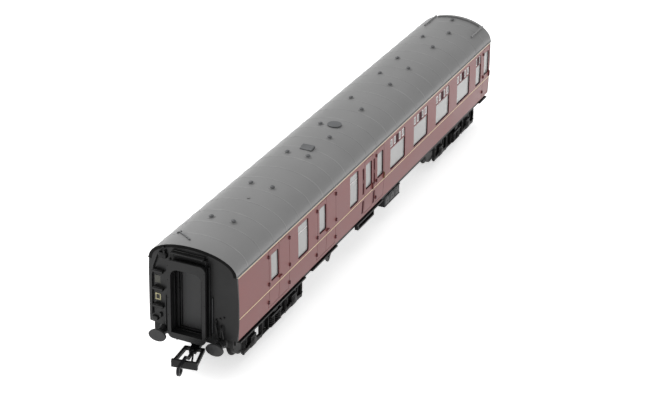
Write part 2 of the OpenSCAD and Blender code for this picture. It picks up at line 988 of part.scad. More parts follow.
module bogie_pins() {
    head_t = 0.6;
    color(steel)
        for (end = [-1, 1])
            translate([end * pivot_x, 0, 0]) {
                translate([0, 0, transom_z - bogie_gap])
                    cylinder(d = pin_d, h = floor_z - boss_h - transom_z + bogie_gap);
                translate([0, 0, transom_z - bogie_gap - head_t])
                    cylinder(d = pin_head_d, h = head_t);
            }
}

// Half of a side frame's outline, with the horns around the axle
function frame_half(axle_x) =
    let (middle_foot = axle_z - 1.2, horn_foot = axle_z - 1.5, arch = transom_z - 1,
        end_x = axle_x + 5.5)
    [[0, middle_foot], [6, middle_foot], [7, middle_foot + 1], [8, arch - 0.4],
        [axle_x - 3.4, arch], [axle_x - 3, horn_foot], [axle_x + 3, horn_foot],
        [axle_x + 3.4, arch], [end_x, arch + 0.4], [end_x, frame_top_z - 0.8],
        [end_x - 1.5, frame_top_z], [0, frame_top_z]];

module bogie_frame() {
    axle_x = wheelbase / 2;
    outline = frame_half(axle_x);
    box_half = 2.1;
    spring_half = 7.4;
    spring_z = axle_z - 2.1;
    spring_t = 1.1;
    hanger_w = 0.9;
    color(black)
        difference() {
            union() {
                for (side = [0, 1], fore = [0, 1])
                    mirror([0, side, 0])
                        mirror([fore, 0, 0]) {
                            along_y(frame_y, frame_y + frame_t)
                                polygon(outline);
                            translate([axle_x, 0, 0]) {
                                along_y(frame_y + frame_t / 2, frame_y + frame_t + axlebox_reach)
                                    translate([-box_half, spring_z])
                                        square([2 * box_half, axle_z + 2.3 - spring_z]);
                                along_y(frame_y + frame_t - 0.2, frame_y + frame_t + 1.1) {
                                    translate([-spring_half, spring_z])
                                        square([2 * spring_half, spring_t]);
                                    for (x = [-spring_half, spring_half - hanger_w])
                                        translate([x, spring_z])
                                            square([hanger_w, frame_top_z - 2 - spring_z]);
                                }
                            }
                        }
                translate([-transom_half, -frame_y - frame_t / 2, transom_z])
                    cube([2 * transom_half, 2 * frame_y + frame_t, transom_t]);
                translate([0, 0, transom_z])
                    cylinder(r = 4, h = bolster_top_z - transom_z);
                translate([0, -tongue_half, transom_z])
                    cube([tongue_x, 2 * tongue_half, transom_t]);
            }
            for (x = [-axle_x, axle_x])
                translate([x, 0, axle_z])
                    rod_y(journal_d + 2 * bearing_gap, 2 * (frame_y + frame_t - 0.1));
            translate([0, 0, transom_z - over])
                cylinder(d = pin_d + 4 * bearing_gap, h = 6);
        }
}

// Brake blocks just clear of the treads, on a beam hung from the transom
module brake_rigging() {
    tread_gap = 0.35;
    block = [0.9, 1.5, 4.4];
    block_y = back_to_back / 2 + tyre_w - block[1] - 0.15;
    block_x = wheelbase / 2 - wheel_d / 2 - tread_gap - block[0];
    beam = 0.8;
    hanger_y = 5.5;
    color(black)
        for (fore = [0, 1])
            mirror([fore, 0, 0]) {
                translate([block_x - beam, -block_y - block[1], axle_z - beam])
                    cube([beam, 2 * (block_y + block[1]), beam]);
                for (side = [0, 1])
                    mirror([0, side, 0]) {
                        translate([block_x - beam / 2, block_y, axle_z - block[2] / 2])
                            cube([block[0] + beam / 2, block[1], block[2]]);
                        translate([block_x - beam, hanger_y - beam / 2, axle_z - beam])
                            cube([beam, beam, transom_z + transom_t - axle_z + beam]);
                        translate([transom_half, hanger_y - beam / 2, transom_z])
                            cube([block_x - transom_half, beam, transom_t]);
                    }
            }
}

// Half of a wheelset's outline as (radius, distance along the axle)
module wheelset() {
    back = back_to_back / 2;
    front = back + tyre_w;
    tread_r = wheel_d / 2;
    rim_r = tread_r - 1;
    hub_r = axle_d / 2 + 0.9;
    shoulder = frame_y - bogie_gap;
    tip = frame_y + frame_t - 0.3;
    half = [[0, 0], [axle_d / 2, 0], [axle_d / 2, back + 0.3], [hub_r, back + 0.3],
        [hub_r, back + 0.9], [rim_r, back + 0.9], [rim_r, back], [flange_r - 0.3, back],
        [flange_r, back + 0.3], [flange_r, back + 0.5], [tread_r, back + 0.85],
        [tread_r - 0.1, front], [rim_r, front], [rim_r, front - 0.8], [hub_r, front - 0.5],
        [hub_r, front + 0.1], [axle_d / 2, front + 0.1], [axle_d / 2, shoulder],
        [journal_d / 2, shoulder], [journal_d / 2, tip], [0, tip]];
    color(dark_grey)
        translate([0, 0, axle_z])
            rotate([90, 0, 0])
                for (side = [0, 1])
                    mirror([0, 0, side])
                        rotate_extrude($fn = 72)
                            polygon(half);
}

// ---- Couplings, drawn on a bogie whose +X points outward ----

arm_z = bar_z + 0.9;
arm_t = 1.2;
bar_t = 1.1;
rear_x = bar_reach - 12;
hook_pin_x = rear_x + 2.2;
hook_pin_z = arm_z + arm_t / 2;
hook_pin_d = 0.8;
hook_t = 1;

module coupling_frame() {
    rear_half = 3.8;
    arm_w = 1.1;
    ear_t = 0.6;
    ear_gap = 0.2;
    bar_back_x = bar_reach - bar_t;
    shank_half = 1.6;
    color(black) {
        translate([tongue_x - 4, -shank_half, transom_z - shank_h])
            cube([rear_x - tongue_x + 5, 2 * shank_half, shank_h]);
        translate([rear_x, -rear_half, arm_z])
            cube([arm_t, 2 * rear_half, arm_t]);
        translate([bar_back_x, -bar_w / 2, bar_z])
            cube([bar_t, bar_w, bar_h]);
        for (y = [-1, 1])
            translate([0, 0, arm_z])
                linear_extrude(arm_t)
                    polygon([[rear_x, y * (rear_half - arm_w)], [rear_x, y * rear_half],
                        [bar_back_x + bar_t / 2, y * bar_w / 2],
                        [bar_back_x + bar_t / 2, y * (bar_w / 2 - arm_w)]]);
        for (y = [-1, 1])
            translate([rear_x + arm_t / 2, y * (hook_t / 2 + ear_gap + ear_t / 2) - ear_t / 2,
                arm_z])
                cube([hook_pin_x - rear_x + 0.2, ear_t, arm_t]);
        translate([hook_pin_x, 0, hook_pin_z])
            rod_y(hook_pin_d, hook_t + 2 * ear_gap + ear_t);
    }
}

module coupling_hook() {
    eye_r = 0.95;
    shank_half = 0.5;
    hook_h = 0.95;
    bend_x = bar_reach - 4.4;
    over_bar_z = bar_z + bar_h + 0.15;
    curl_x = bar_reach + 4.4;
    color(black)
        difference() {
            along_y(-hook_t / 2, hook_t / 2) {
                translate([hook_pin_x, hook_pin_z])
                    circle(eye_r);
                polygon([[hook_pin_x, hook_pin_z - shank_half], [bend_x, hook_pin_z - shank_half],
                    [bend_x + 2.6, over_bar_z], [curl_x + 0.6, over_bar_z],
                    [curl_x + 1.3, over_bar_z - 0.5], [curl_x + 1.4, bar_z + 1.8],
                    [curl_x + 0.9, bar_z + 1.1], [curl_x, bar_z + 0.85], [curl_x - 0.8, bar_z + 1.1],
                    [curl_x - 1, bar_z + 1.8], [curl_x - 1.7, bar_z + 1.7], [curl_x - 1.6, bar_z + 0.7],
                    [curl_x - 0.7, bar_z + 0.15], [curl_x + 0.2, bar_z], [curl_x + 1.4, bar_z + 0.3],
                    [curl_x + 2.2, bar_z + 1.1], [curl_x + 2.5, bar_z + 2.3],
                    [curl_x + 2.2, over_bar_z + 0.4], [curl_x + 1.3, over_bar_z + hook_h],
                    [bend_x + 2.2, over_bar_z + hook_h], [bend_x - 0.4, hook_pin_z + shank_half],
                    [hook_pin_x, hook_pin_z + shank_half]]);
            }
            translate([hook_pin_x, 0, hook_pin_z])
                rod_y(hook_pin_d + 2 * bearing_gap, body_width);
        }
}

module bogie_frame_brake() {
    on_bogie(-1)
        bogie_frame();
}

module bogie_frame_passenger() {
    on_bogie(1)
        bogie_frame();
}

module brake_rigging_brake() {
    on_bogie(-1)
        brake_rigging();
}

module brake_rigging_passenger() {
    on_bogie(1)
        brake_rigging();
}

module coupling_frame_brake() {
    on_coupling(-1)
        coupling_frame();
}

module coupling_frame_passenger() {
    on_coupling(1)
        coupling_frame();
}

module coupling_hook_brake() {
    on_coupling(-1)
        coupling_hook();
}

module coupling_hook_passenger() {
    on_coupling(1)
        coupling_hook();
}

// One wheelset: outer is +1 for the axle nearer the end of the coach and -1 for the inner one
module placed_wheelset(end, outer) {
    on_bogie(end)
        translate([outer * wheelbase / 2, 0, 0])
            wheelset();
}

roof();
roof_vents();
roof_hatches();
roof_pipes();
side_corridor();
side_compartment();
glazing_corridor();
glazing_compartment();
brake_end();
passenger_end();
gangway_brake();
gangway_passenger();
gangway_doors();
end_fittings_brake();
end_fittings_passenger();
underframe();
solebars();
headstocks();
buffers_brake();
buffers_passenger();
ballast_weight();
corridor_wall();
compartment_walls();
compartment_seats();
trusses();
battery_boxes();
vacuum_cylinders();
dynamo();
footboards();
bogie_pins();
bogie_frame_brake();
brake_rigging_brake();
coupling_frame_brake();
coupling_hook_brake();
placed_wheelset(-1, 1);  // wheelset_1
placed_wheelset(-1, -1);  // wheelset_2
bogie_frame_passenger();
brake_rigging_passenger();
coupling_frame_passenger();
coupling_hook_passenger();
placed_wheelset(1, -1);  // wheelset_3
placed_wheelset(1, 1);  // wheelset_4
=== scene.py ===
import json
import math

import bmesh
import bpy
import numpy as np
from mathutils import Matrix, Vector


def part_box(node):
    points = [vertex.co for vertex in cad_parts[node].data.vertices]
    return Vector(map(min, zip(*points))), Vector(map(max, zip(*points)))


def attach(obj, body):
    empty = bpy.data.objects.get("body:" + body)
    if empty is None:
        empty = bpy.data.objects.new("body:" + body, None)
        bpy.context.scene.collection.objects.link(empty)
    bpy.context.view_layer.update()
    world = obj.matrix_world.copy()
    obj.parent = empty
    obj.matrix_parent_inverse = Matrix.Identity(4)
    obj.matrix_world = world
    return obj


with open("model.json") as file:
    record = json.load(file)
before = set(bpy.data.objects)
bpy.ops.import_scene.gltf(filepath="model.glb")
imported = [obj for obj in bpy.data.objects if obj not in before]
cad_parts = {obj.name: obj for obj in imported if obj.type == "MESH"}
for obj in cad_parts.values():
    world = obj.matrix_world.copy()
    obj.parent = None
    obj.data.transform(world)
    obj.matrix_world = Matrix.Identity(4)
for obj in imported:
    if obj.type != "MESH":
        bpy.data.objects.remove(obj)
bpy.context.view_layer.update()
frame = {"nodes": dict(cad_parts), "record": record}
nodes = frame["nodes"]
MM = 0.001

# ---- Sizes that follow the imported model, in millimetres ----


def corners(node):
    lo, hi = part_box(node)
    return lo / MM, hi / MM


side_lo, side_hi = corners("side_compartment")
SOLE_Z, EAVES_Z = side_lo.z, side_hi.z
SIDE_END = side_hi.x
WAIST_Z = 25.5
HALF = 18.0                         # half the body's width, at the waist
SOLE_TUCK, EAVES_TUCK = 0.4, 0.55   # how far a side leans in below and above the waist
ROOF_HALF, ROOF_RISE = 17.55, 9.0   # the half ellipse of the roof
END_X = 129.5
BOW = 1.6                           # how far an end bows out over the body's width
BOW_R = (HALF ** 2 + BOW ** 2) / (2 * BOW)
BUFFER_Y, BUFFER_Z = 11.5, 14.8
PIVOT = 93.0
COUPLING_MOUNT, COUPLING_TURN = 28.0, 9.5
AXLE_X, AXLE_Z = 17.0, 7.3
FRAME_FACE = 13.8                   # the outer face of a bogie's side frame
PANE = 0.5                          # how deep the panes lie in a side
BEHIND = -PANE - 0.05               # just under the face of a pane


def half_at(z):
    """Half the body's width at a height on its side."""
    if z < WAIST_Z:
        return HALF - SOLE_TUCK * ((WAIST_Z - z) / (WAIST_Z - SOLE_Z)) ** 2
    return HALF - EAVES_TUCK * ((z - WAIST_Z) / (EAVES_Z - WAIST_Z)) ** 2


def roof_z(y, grow):
    """The roof's height at y, on an ellipse that is larger all round by grow."""
    across = y / (ROOF_HALF + grow)
    return EAVES_Z + (ROOF_RISE + grow) * math.sqrt(max(0.0, 1 - across ** 2))


def bow(y):
    """How far an end has fallen back at y from its middle."""
    return BOW_R - math.sqrt(BOW_R ** 2 - y * y)


# ---- Materials ----

DUST = (0.16, 0.155, 0.15, 1)
DUST_FROM = 0.35                    # how far a surface has to face upward before dust lies on it
RAMP = (0.3, 0.7)                   # where the broad variation turns from dark to light
BUMP_DEPTH = 0.00003                # metres


def finish(name, light, dark, rough, grain, bump, patch, metal=0.0, spec=0.5,
           rough_spread=0.08, dust=0.0, streak=None):
    """A moulded or painted surface: fine grain, broad colour variation and uneven gloss.

    grain and patch are the sizes in millimetres of the fine and the broad variation.
    """
    m = bpy.data.materials.new(name)
    m.use_nodes = True
    t = m.node_tree
    n, link = t.nodes, t.links.new
    b = n["Principled BSDF"]
    b.inputs["Metallic"].default_value = metal
    b.inputs["Specular IOR Level"].default_value = spec
    co = n.new("ShaderNodeTexCoord")
    place = co.outputs["Object"]
    if streak:
        mp = n.new("ShaderNodeMapping")
        mp.inputs["Scale"].default_value = streak
        link(place, mp.inputs["Vector"])
        place = mp.outputs["Vector"]
    broad = n.new("ShaderNodeTexNoise")
    broad.inputs["Scale"].default_value = 1 / MM / patch
    broad.inputs["Detail"].default_value = 4.0
    link(place, broad.inputs["Vector"])
    fine = n.new("ShaderNodeTexNoise")
    fine.inputs["Scale"].default_value = 1 / MM / grain
    fine.inputs["Detail"].default_value = 2.0
    link(co.outputs["Object"], fine.inputs["Vector"])
    ramp = n.new("ShaderNodeValToRGB")
    for element, position, tone in zip(ramp.color_ramp.elements, RAMP, (dark, light)):
        element.position = position
        element.color = (*tone, 1)
    link(broad.outputs["Fac"], ramp.inputs["Fac"])
    colour = ramp.outputs["Color"]
    if dust:
        geo = n.new("ShaderNodeNewGeometry")
        split = n.new("ShaderNodeSeparateXYZ")
        link(geo.outputs["Normal"], split.inputs["Vector"])
        up = n.new("ShaderNodeMapRange")
        up.inputs["From Min"].default_value = DUST_FROM
        up.inputs["From Max"].default_value = 1.0
        up.inputs["To Max"].default_value = dust
        link(split.outputs["Z"], up.inputs["Value"])
        mix = n.new("ShaderNodeMix")
        mix.data_type = "RGBA"
        link(up.outputs["Result"], mix.inputs["Factor"])
        link(colour, mix.inputs["A"])
        mix.inputs["B"].default_value = DUST
        colour = mix.outputs["Result"]
    link(colour, b.inputs["Base Color"])
    spread = n.new("ShaderNodeMapRange")
    spread.inputs["To Min"].default_value = rough - rough_spread
    spread.inputs["To Max"].default_value = rough + rough_spread
    link(broad.outputs["Fac"], spread.inputs["Value"])
    link(spread.outputs["Result"], b.inputs["Roughness"])
    bp = n.new("ShaderNodeBump")
    bp.inputs["Strength"].default_value = bump
    bp.inputs["Distance"].default_value = BUMP_DEPTH
    link(fine.outputs["Fac"], bp.inputs["Height"])
    link(bp.outputs["Normal"], b.inputs["Normal"])
    return m


M = {
    "roof_grey": finish("roof_plastic", (0.215, 0.215, 0.215), (0.192, 0.192, 0.192),
                        0.4, 0.3, 0.18, 22),
    "vent_grey": finish("vent_plastic", (0.105, 0.108, 0.112), (0.08, 0.083, 0.086),
                        0.45, 0.3, 0.15, 3),
    "maroon": finish("maroon_paint", (0.2, 0.056, 0.053), (0.172, 0.046, 0.045),
                     0.36, 0.3, 0.1, 16, spec=0.36),
    "black_body": finish("black_plastic", (0.012, 0.012, 0.0123), (0.006, 0.006, 0.0063),
                         0.38, 0.3, 0.2, 8, spec=0.26),
    "door_grey": finish("door_plastic", (0.03, 0.03, 0.031), (0.024, 0.024, 0.025),
                        0.45, 0.3, 0.15, 9, spec=0.3),
    "black_frame": finish("frame_plastic", (0.0075, 0.0075, 0.008), (0.004, 0.004, 0.0043),
                          0.45, 0.25, 0.25, 5, spec=0.22, dust=0.03),
    "battery_grey": finish("box_plastic", (0.03, 0.031, 0.033), (0.022, 0.023, 0.025),
                           0.42, 0.3, 0.2, 5, spec=0.35, dust=0.08),
    "buffer_black": finish("buffer_paint", (0.02, 0.02, 0.021), (0.013, 0.013, 0.014),
                           0.36, 0.25, 0.2, 3, spec=0.35, dust=0.04),
    "weight_steel": finish("bare_steel", (0.5, 0.5, 0.49), (0.38, 0.38, 0.37),
                           0.34, 0.2, 0.2, 6, metal=1.0, streak=(1, 8, 8)),
    "interior_cream": finish("interior_plastic", (0.6, 0.57, 0.5), (0.55, 0.52, 0.45),
                             0.5, 0.3, 0.1, 14),
    "seat_blue": finish("seat_cloth", (0.11, 0.14, 0.21), (0.07, 0.09, 0.15),
                        0.75, 0.18, 0.6, 2),
    "hook_black": finish("hook_steel", (0.008, 0.008, 0.009), (0.005, 0.005, 0.006),
                         0.42, 0.2, 0.2, 2, spec=0.18),
    "wheel_black": finish("wheel_metal", (0.008, 0.008, 0.008), (0.005, 0.005, 0.005),
                          0.5, 0.25, 0.2, 3, spec=0.12),
    "gold": finish("gold_lining", (0.72, 0.54, 0.34), (0.62, 0.45, 0.27), 0.4, 0.2, 0.1, 4),
    "brass": finish("brass_paint", (0.2, 0.15, 0.04), (0.09, 0.065, 0.02),
                    0.32, 0.2, 0.1, 2, metal=0.6),
    "tread": finish("tread_steel", (0.04, 0.04, 0.04), (0.025, 0.025, 0.025),
                    0.45, 0.2, 0.15, 2, metal=1.0),
    # Near-black maroon: painted shade filling the handrail slots; the vent posts use it too.
    "slot": finish("painted_slot_shade", (0.06, 0.007, 0.012), (0.04, 0.005, 0.009),
                   0.6, 0.2, 0.1, 3, spec=0.08),
    "hinge": finish("hinge_paint", (0.085, 0.008, 0.012), (0.055, 0.006, 0.009),
                    0.4, 0.2, 0.15, 3, spec=0.3),
    # Dark maroon for the window seals and the thin dark lines beside the lining; around the panes it is
    # also painted shade of the window reveals.
    "seal_lining_reveal_shade": finish("seal_lining_and_reveal_shade", (0.045, 0.008, 0.012), (0.03, 0.006, 0.009),
                   0.6, 0.2, 0.2, 3, spec=0.08),
    "vent_frame": finish("vent_frame", (0.7, 0.66, 0.66), (0.6, 0.56, 0.56), 0.3, 0.2, 0.08, 4),
    "label": finish("label_card", (0.5, 0.46, 0.26), (0.3, 0.28, 0.16), 0.5, 0.2, 0.1, 1.0),
    "old_label": finish("old_label_card", (0.06, 0.06, 0.045), (0.035, 0.035, 0.028),
                        0.5, 0.2, 0.1, 0.8),
    # Near-black painted shade: the shadow gap under the roof's end rim and the shaded sides of the
    # bellows.
    "shade_black": finish("painted_shade_black", (0.003, 0.003, 0.003), (0.002, 0.002, 0.002),
                  0.6, 0.2, 0.1, 3, spec=0.1),
    # The ribs are a lighter grey than the roof: a painted highlight along each rib.
    "rib": finish("roof_rib", (0.28, 0.28, 0.28), (0.2, 0.2, 0.2), 0.4, 0.3, 0.12, 7),
    "clear": finish("clear_glazing", (0.5, 0.5, 0.495), (0.43, 0.43, 0.425),
                    0.13, 0.4, 0.04, 30, rough_spread=0.03),
}
pane = M["clear"].node_tree.nodes["Principled BSDF"]
pane.inputs["Transmission Weight"].default_value = 0.3
pane.inputs["IOR"].default_value = 1.49

slots = {s["node"]: s["material_slot"] for s in frame["record"]["subparts"]}
SOFT_ANGLE = 26                     # degrees; sharper corners than this stay sharp


def soften(obj, angle):
    """Shade a curved CAD surface smooth across its small facets, and keep its real edges sharp."""
    me = obj.data
    n_loops = len(me.loops)
    face_n = np.zeros(len(me.polygons) * 3)
    me.polygons.foreach_get("normal", face_n)
    face_n = face_n.reshape(-1, 3)
    area = np.zeros(len(me.polygons))
    me.polygons.foreach_get("area", area)
    total = np.zeros(len(me.polygons), int)
    me.polygons.foreach_get("loop_total", total)
    vert = np.zeros(n_loops, int)
    me.loops.foreach_get("vertex_index", vert)
    co = np.zeros(len(me.vertices) * 3)
    me.vertices.foreach_get("co", co)
    key = np.unique(np.round(co.reshape(-1, 3), 7), axis=0, return_inverse=True)[1].ravel()[vert]
    face = np.repeat(np.arange(len(me.polygons)), total)
    order = np.argsort(key, kind="stable")
    starts = np.flatnonzero(np.r_[True, np.diff(key[order]) > 0])
    groups = np.split(order, starts[1:])
    limit = math.cos(angle)
    out = np.zeros((n_loops, 3))
    for g in groups:
        ns = face_n[face[g]]
        near = ns @ ns.T > limit
        s = (near * area[face[g]][None, :]) @ ns
        out[g] = s
    length = np.linalg.norm(out, axis=1)
    bad = length < 1e-15
    out[bad] = face_n[face[bad]]
    length[bad] = 1
    me.shade_smooth()
    me.normals_split_custom_set((out / length[:, None]).tolist())


for name, obj in nodes.items():
    obj.data.materials.clear()
    obj.data.materials.append(M[slots[name]])
    soften(obj, math.radians(SOFT_ANGLE))

# ---- A small kit for building detail pieces ----

X, Y, Z = Vector((1, 0, 0)), Vector((0, 1, 0)), Vector((0, 0, 1))


class Kit:
    """Gathers shapes, given in millimetres, into one piece; place is applied to each of them."""

    def __init__(self, place=None):
        self.bm = bmesh.new()
        self.place = place or Matrix.Identity(4)

    def _keep(self, geom):
        bmesh.ops.transform(self.bm, matrix=self.place, verts=geom)

    def box(self, centre, size, bevel):
        made = bmesh.ops.create_cube(self.bm, size=1.0)["verts"]
        scale = Matrix.Diagonal((*size, 1))
        bmesh.ops.transform(self.bm, matrix=Matrix.Translation(centre) @ scale, verts=made)
        edges = list({e for v in made for e in v.link_edges})
        made = bmesh.ops.bevel(self.bm, geom=made + edges, offset=min(bevel, min(size) * 0.3),
                               segments=1, affect="EDGES")["verts"]
        self._keep(made)

    def rod(self, a, b, r, n):
        a, b = Vector(a), Vector(b)
        d = b - a
        turn = Z.rotation_difference(d).to_matrix().to_4x4()
        made = bmesh.ops.create_cone(self.bm, cap_ends=True, segments=n, radius1=r, radius2=r,
                                     depth=d.length)["verts"]
        bmesh.ops.transform(self.bm, matrix=Matrix.Translation((a + b) / 2) @ turn, verts=made)
        self._keep(made)

    def lathe(self, profile, origin, axis, n):
        """profile is (radius, distance along axis); ends on the axis where a radius is 0."""
        turn = Z.rotation_difference(Vector(axis)).to_matrix().to_4x4()
        m = Matrix.Translation(origin) @ turn
        around = [(math.cos(2 * math.pi * i / n), math.sin(2 * math.pi * i / n)) for i in range(n)]
        rings = []
        for r, h in profile:
            spots = [(0, 0)] if r == 0 else around
            rings.append([self.bm.verts.new(m @ Vector((r * c, r * d, h))) for c, d in spots])
        for p, q in zip(rings, rings[1:]):
            for i in range(n):
                j = (i + 1) % n
                if len(p) == 1:
                    self.bm.faces.new((p[0], q[j], q[i]))
                elif len(q) == 1:
                    self.bm.faces.new((p[i], p[j], q[0]))
                else:
                    self.bm.faces.new((p[i], p[j], q[j], q[i]))
        for ring in (rings[0], rings[-1]):
            if len(ring) > 1:
                self.bm.faces.new(ring)
        self._keep([v for ring in rings for v in ring])

    def tube(self, points, r, n, closed=False):
        pts = [Vector(p) for p in points]
        rings = []
        side = None
        for i, p in enumerate(pts):
            if closed:
                d = pts[(i + 1) % len(pts)] - pts[i - 1]
            else:
                d = pts[min(i + 1, len(pts) - 1)] - pts[max(i - 1, 0)]
            d.normalize()
            if side is None:
                side = d.orthogonal().normalized()
            else:
                side = (side - d * side.dot(d)).normalized()
            up = d.cross(side)
            rings.append([self.bm.verts.new(p + r * (math.cos(2 * math.pi * k / n) * side
                                                     + math.sin(2 * math.pi * k / n) * up))
                          for k in range(n)])
        pairs = list(zip(rings, rings[1:])) + ([(rings[-1], rings[0])] if closed else [])
        for p, q in pairs:
            for i in range(n):
                j = (i + 1) % n
                self.bm.faces.new((p[i], p[j], q[j], q[i]))
        if not closed:
            self.bm.faces.new(rings[0])
            self.bm.faces.new(rings[-1])
        self._keep([v for ring in rings for v in ring])

    def sheet(self, front, back):
        """A closed slab between two matching outlines."""
        a = [self.bm.verts.new(p) for p in front]
        b = [self.bm.verts.new(p) for p in back]
        self.bm.faces.new(a)
        self.bm.faces.new(b[::-1])
        for i in range(len(a)):
            j = (i + 1) % len(a)
            self.bm.faces.new((a[i], b[i], b[j], a[j]))
        self._keep(a + b)

    def rivet(self, at, axis, r):
        head = [(r, -0.05), (r * 0.95, r * 0.3), (r * 0.6, r * 0.65), (0, r * 0.8)]
        self.lathe(head, at, axis, 8)

    def done(self, name, body, material, slot, smooth=40):
        """Make the piece; edges sharper than smooth degrees stay sharp."""
        bmesh.ops.recalc_face_normals(self.bm, faces=self.bm.faces)
        bmesh.ops.scale(self.bm, vec=(MM, MM, MM), verts=self.bm.verts)
        me = bpy.data.meshes.new(name)
        self.bm.to_mesh(me)
        self.bm.free()
        for p in me.polygons:
            p.use_smooth = True
        me.set_sharp_from_angle(angle=math.radians(smooth))
        me.materials.append(M[material])
        obj = bpy.data.objects.new(name, me)
        bpy.context.scene.collection.objects.link(obj)
        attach(obj, body)
        return obj


ENDS = {"brake": -1, "passenger": 1}
SIDES = {"corridor": -1, "compartment": 1}


def end_place(end):
    return Matrix.Rotation(0 if end > 0 else math.pi, 4, "Z")


def bogie_place(end):
    return end_place(end) @ Matrix.Translation((PIVOT, 0, 0))


def coupling_place(end):
    turn = Matrix.Rotation(math.radians(COUPLING_TURN if end < 0 else 0), 4, "Z")
    return (bogie_place(end) @ Matrix.Translation((COUPLING_MOUNT, 0, 0)) @ turn
            @ Matrix.Translation((-COUPLING_MOUNT, 0, 0)))


# ---- Sides: lining, window fittings and handles ----

WIDE = [16.6 + 25.4 * i for i in range(4)]
WIDE_END = 112.2                    # the narrower window with vents, past the four wide ones
NO_VENTS = ((-74.6, 9.0), (-27.8, 8.2))   # place and width of the tall windows without vents
TALL, SHORT = (26.4, 40.0), (28.2, 39.0)
WINDOWS = ([(x, 15.8, *TALL) for x in WIDE] + [(WIDE_END, 6.6, *TALL)]
           + [(x, w, *TALL) for x, w in NO_VENTS]
           + [(x, 6.2, *SHORT) for x in (-98.6, -57.4, -13.4, -1.8, 122.6)])
WAIST_LINE, EAVES_LINE = (25.2, 25.6), (41.45, 41.95)
HINGES_X, HINGES_Z = (-103.6, -86.4, -62.4, -45.2, -5.9, 118.5), (20.5, 28.0, 39.0)
HINGE = [(0.4, -0.62), (0.5, -0.55), (0.5, -0.12), (0.44, -0.1),
         (0.44, 0.1), (0.5, 0.12), (0.5, 0.55), (0.4, 0.62)]
T_HANDLES_X = (-95.0, -53.8)
GRIPS_X, PLAIN_GRIPS_X = (1.8,), (126.2, -9.8)
HANDLE_Z = 27.3
RAILS_X, RAILS_Z = (-18.9, -7.9), ((18.6, 24.4), (27.2, 38.6))
BAR_Z = (35.6, 36.05)               # the bar under the vents
POST_Z = (36.05, 39.9)
VENT_Z = (36.15, 39.8)


def side_bar(kit, s, x0, x1, z0, z1, out, into):
    """A slab on side s between two places along it, following the curve of the side."""
    def outline(depth):
        return [(x, s * (half_at(z) + depth), z)
                for x, z in ((x0, z0), (x1, z0), (x1, z1), (x0, z1))]

    kit.sheet(outline(out), outline(into))


def side_frame(kit, s, x, w, z0, z1, border, out, into):
    x0, x1 = x - w / 2, x + w / 2
    side_bar(kit, s, x0, x1, z0, z0 + border, out, into)
    side_bar(kit, s, x0, x1, z1 - border, z1, out, into)
    side_bar(kit, s, x0, x0 + border, z0 + border, z1 - border, out, into)
    side_bar(kit, s, x1 - border, x1, z0 + border, z1 - border, out, into)


